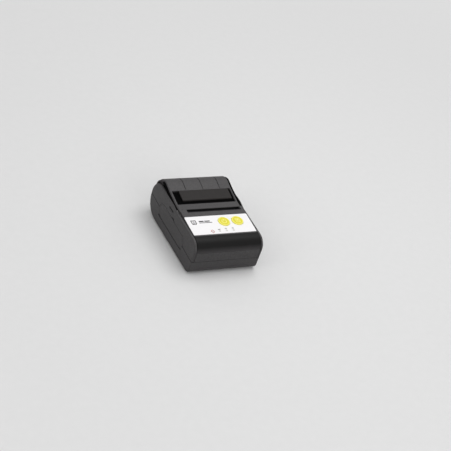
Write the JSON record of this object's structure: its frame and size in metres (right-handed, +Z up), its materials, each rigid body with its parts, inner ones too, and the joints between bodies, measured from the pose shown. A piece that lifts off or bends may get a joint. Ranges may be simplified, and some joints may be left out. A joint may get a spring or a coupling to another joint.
{
  "type": "portable thermal printer",
  "caption": "Portable thermal receipt printer with a barrel-hinged paper cover, white control panel with two round keys, and a roll-fed print mechanism inside.",
  "frame": {"origin": "centre of the footprint, at the soles of the rubber feet", "axes": "+X to the right, +Y from the control panel to the paper cover's hinge, +Z up"},
  "size_m": [0.079, 0.108, 0.0464],
  "materials": {
    "case_abs": "textured charcoal ABS",
    "trim_abs": "dark satin ABS",
    "frame_abs": "black ABS",
    "window_pc": "smoked polycarbonate",
    "overlay_film": "white polyester film",
    "button_silicone": "yellow silicone",
    "lens_pc": "clear polycarbonate",
    "foot_rubber": "black rubber",
    "platen_rubber": "ground rubber",
    "steel": "ground steel",
    "zinc_screw": "zinc plated steel",
    "gear_pom": "white acetal",
    "bush_pom": "black acetal",
    "heat_sink": "extruded aluminium",
    "head_ceramic": "glazed ceramic",
    "board_fr4": "green solder resist",
    "chip_epoxy": "black epoxy",
    "can_aluminium": "aluminium can",
    "battery_wrap": "blue shrink wrap",
    "nickel_shell": "nickel plated steel"
  },
  "bodies": {
    "case": {"upper_case": "case_abs", "lower_case": "case_abs", "front_cover": "case_abs", "front_trim": "trim_abs", "control_panel_overlay": "overlay_film", "indicator_lenses": "lens_pc", "tear_bar": "steel", "rubber_feet": "foot_rubber", "gear_axles": "steel", "stepper_motor": "nickel_shell", "mechanism_frame": "frame_abs", "mechanism_screws": "zinc_screw", "head_pivot_shaft": "steel", "head_springs": "steel", "paper_sensor": "chip_epoxy", "paper_bay": "frame_abs", "case_screws": "zinc_screw", "hinge_pins": "steel", "port_cover_pin": "steel", "main_board": "board_fr4", "board_screws": "zinc_screw", "usb_socket": "nickel_shell", "dc_jack": "chip_epoxy", "radio_module": "nickel_shell", "board_chips": "chip_epoxy", "capacitors": "can_aluminium", "buzzer": "chip_epoxy", "battery_pack": "battery_wrap", "battery_contacts": "chip_epoxy", "key_board": "board_fr4", "tact_switches": "nickel_shell", "indicator_lamps": "lens_pc"},
    "cover": {"paper_cover_shell": "case_abs", "cover_inner_frame": "frame_abs", "cover_window": "window_pc", "platen_bushes": "bush_pom"},
    "platen": {"platen_roller": "platen_rubber", "platen_shaft": "steel", "platen_gear": "gear_pom"},
    "idler": {"idler_gear": "gear_pom"},
    "compound": {"compound_gear": "gear_pom"},
    "pinion": {"motor_pinion": "steel"},
    "power_key": {"power_button": "button_silicone"},
    "feed_key": {"feed_button": "button_silicone"},
    "slider": {"release_slider": "trim_abs"},
    "port_door": {"port_cover": "case_abs"},
    "battery_door": {"battery_cover": "case_abs"},
    "head": {"print_head": "head_ceramic", "head_heat_sink": "heat_sink"}
  },
  "joints": [
    {"name": "cover_hinge", "type": "hinge", "parent": "case", "child": "cover", "pos_m": [0, 0.039, 0.0332], "axis": [-1, 0, 0], "range_deg": [0, 85]},
    {"name": "platen_spin", "type": "hinge", "parent": "cover", "child": "platen", "pos_m": [0, 0.0042, 0.0323], "axis": [1, 0, 0], "continuous": true},
    {"name": "idler_spin", "type": "hinge", "parent": "case", "child": "idler", "pos_m": [0, 0.00333, 0.02234], "axis": [1, 0, 0], "continuous": true},
    {"name": "compound_spin", "type": "hinge", "parent": "case", "child": "compound", "pos_m": [0, -0.00466, 0.01943], "axis": [1, 0, 0], "continuous": true},
    {"name": "pinion_spin", "type": "hinge", "parent": "case", "child": "pinion", "pos_m": [0, -0.01175, 0.02497], "axis": [1, 0, 0], "continuous": true},
    {"name": "power_press", "type": "slide", "parent": "case", "child": "power_key", "axis": [0, 0.0559, -0.9984], "range_m": [0, 0.0008], "stiffness_N_per_m": 1200, "springref_m": -0.0006},
    {"name": "feed_press", "type": "slide", "parent": "case", "child": "feed_key", "axis": [0, 0.0559, -0.9984], "range_m": [0, 0.0008], "stiffness_N_per_m": 1200, "springref_m": -0.0006},
    {"name": "slider_slide", "type": "slide", "parent": "case", "child": "slider", "axis": [0, 1, 0], "range_m": [0, 0.003], "stiffness_N_per_m": 300, "springref_m": -0.002},
    {"name": "port_cover_hinge", "type": "hinge", "parent": "case", "child": "port_door", "pos_m": [-0.0388, 0, 0.0127], "axis": [0, -1, 0], "range_deg": [0, 95]},
    {"name": "battery_cover_slide", "type": "slide", "parent": "case", "child": "battery_door", "axis": [0, -1, 0], "range_m": [0, 0.045]},
    {"name": "head_pivot", "type": "hinge", "parent": "case", "child": "head", "pos_m": [0, -0.00285, 0.024], "axis": [1, 0, 0], "range_deg": [0, 2], "stiffness_Nm_per_rad": 0.4, "springref_deg": -2.86, "deforming": ["head_springs"]}
  ],
  "couplings": [
    {"joint": "idler_spin", "follows": "platen_spin", "ratio": -1},
    {"joint": "compound_spin", "follows": "platen_spin", "ratio": 1.4286},
    {"joint": "pinion_spin", "follows": "platen_spin", "ratio": -3.7143}
  ]
}
